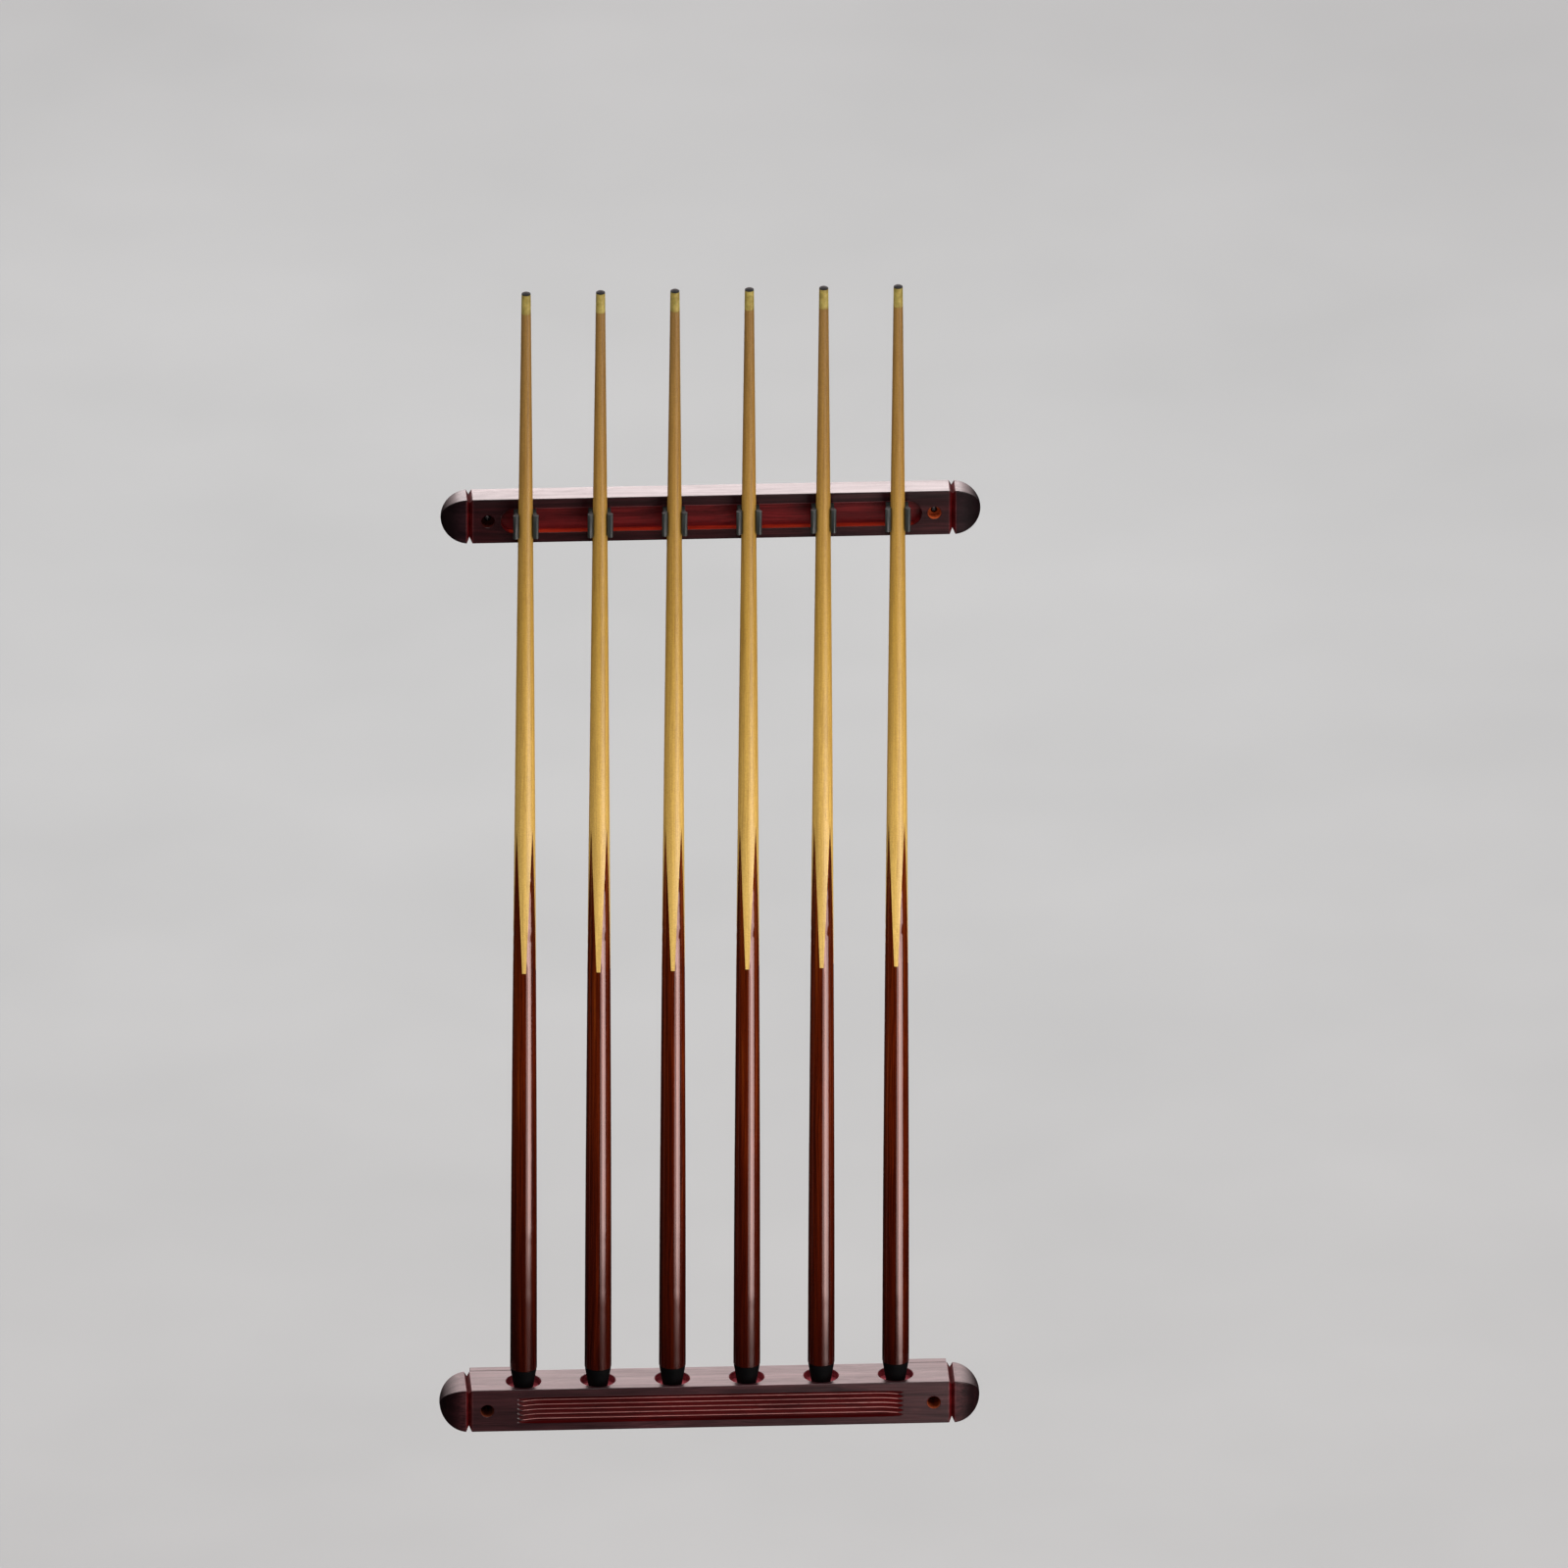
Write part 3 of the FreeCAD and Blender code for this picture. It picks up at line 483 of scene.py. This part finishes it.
# pale surround with a broad bright part behind and above, which the top faces mirror
world = bpy.data.worlds.new("studio")
scene.world = world
world.use_nodes = True
wt = world.node_tree
wt.nodes.clear()
wo = wt.nodes.new("ShaderNodeOutputWorld")
bg = wt.nodes.new("ShaderNodeBackground")
wt.links.new(bg.outputs[0], wo.inputs[0])
tc = wt.nodes.new("ShaderNodeTexCoord")
dot = wt.nodes.new("ShaderNodeVectorMath")
dot.operation = "DOT_PRODUCT"
wt.links.new(tc.outputs["Generated"], dot.inputs[0])
el = math.radians(27)
dot.inputs[1].default_value = (0, math.cos(el), math.sin(el))
patch = wt.nodes.new("ShaderNodeMapRange")
patch.interpolation_type = "SMOOTHSTEP"
wt.links.new(dot.outputs["Value"], patch.inputs["Value"])
patch.inputs["From Min"].default_value = math.cos(math.radians(48))
patch.inputs["From Max"].default_value = math.cos(math.radians(12))
patch.inputs["To Min"].default_value = SKY
patch.inputs["To Max"].default_value = SKY_BACK
axes = wt.nodes.new("ShaderNodeSeparateXYZ")
wt.links.new(tc.outputs["Generated"], axes.inputs[0])
above = wt.nodes.new("ShaderNodeMapRange")
above.interpolation_type = "SMOOTHSTEP"
wt.links.new(axes.outputs[2], above.inputs["Value"])
above.inputs["From Min"].default_value = -0.10
above.inputs["From Max"].default_value = 0.06
above.inputs["To Min"].default_value = 0.04
above.inputs["To Max"].default_value = 1.0
both = wt.nodes.new("ShaderNodeMath")
both.operation = "MULTIPLY"
wt.links.new(patch.outputs[0], both.inputs[0])
wt.links.new(above.outputs[0], both.inputs[1])
wt.links.new(both.outputs[0], bg.inputs["Strength"])
tint = wt.nodes.new("ShaderNodeValToRGB")
wt.links.new(patch.outputs[0], tint.inputs[0])
tint.color_ramp.elements[0].position, tint.color_ramp.elements[0].color = SKY, (1.0, 0.99, 0.99, 1)
tint.color_ramp.elements[1].position, tint.color_ramp.elements[1].color = 1.0, (1.0, 0.80, 0.80, 1)
wt.links.new(tint.outputs[0], bg.inputs["Color"])


def softbox(name, location, target, width, height, power, colour=(1, 1, 1), spread=math.pi):
    data = bpy.data.lights.new(name, "AREA")
    data.shape = "RECTANGLE"
    data.size, data.size_y = width, height
    data.energy = power
    data.color = colour
    data.spread = spread
    o = bpy.data.objects.new(name, data)
    scene.collection.objects.link(o)
    o.location = location
    d = Vector(target) - Vector(location)
    o.rotation_euler = d.to_track_quat("-Z", "Y").to_euler()
    o.visible_camera = False
    return o


def around(azimuth, distance, z):
    """A point at that azimuth from the front, to the right, and that distance."""
    t = math.radians(azimuth)
    return (distance * math.sin(t), -distance * math.cos(t), z)


# low wide softbox at the front right: the soft stripe down each butt
softbox("low_key", around(44, 1.7, -0.79), (0, -0.04, -0.79), 1.10, 0.81, 19, (1.0, 0.90, 0.88))
softbox("low_side", around(27, 1.72, -0.79), (0, -0.04, -0.79), 1.15, 0.81, 11, (1.0, 0.90, 0.87))
# high key at the right, fill at the left, and one above the front for the channel
softbox("high_key", around(52, 2.4, 1.1), (0, 0, 0.0), 1.2, 1.6, 34, (1.0, 0.97, 0.93))
softbox("left_fill", around(-48, 2.6, 1.2), (0, 0, 0.1), 1.6, 1.6, 12)
softbox("top_front", (0.1, -1.1, 2.6), (0, 0, 0.4), 1.6, 1.0, 22)
# behind and above the upper rail: its top face mirrors this one
softbox("upper_back", (0.0, 1.5, 1.30), (0, 0, 0.60), 1.6, 0.45, 2.0, (1.0, 0.95, 0.95), math.radians(70))
# narrow overhead light: the fine lines along edges and reeds
softbox("overhead", (0.0, -0.75, 2.3), (0, -0.05, 0.0), 1.8, 0.28, 14, (1.0, 0.95, 0.94))
# lights the floor far behind the rack only
softbox("far_floor", (0.0, 4.2, 2.4), (0.0, 4.8, -1.35), 4.0, 3.0, 100, (1.0, 1.0, 1.0)).visible_glossy = False

cam_data = bpy.data.cameras.new("camera")
cam = bpy.data.objects.new("camera", cam_data)
scene.collection.objects.link(cam)
cam_data.type = "ORTHO"
cam_data.ortho_scale = 1.8709
az, ev = math.radians(-3.05), math.radians(24.5)
back = Vector((math.sin(az) * math.cos(ev), -math.cos(az) * math.cos(ev), math.sin(ev)))
right = Vector((math.cos(az), math.sin(az), 0))
up = back.cross(right)
target = right * 0.0894 + up * 0.1920
cam.location = target + back * 4.0
roll = Matrix.Rotation(math.radians(0.14), 3, back)
rot = Matrix((roll @ right, roll @ up, roll @ back)).transposed()
cam.rotation_euler = rot.to_euler()
cam_data.clip_start, cam_data.clip_end = 0.05, 200
scene.camera = cam
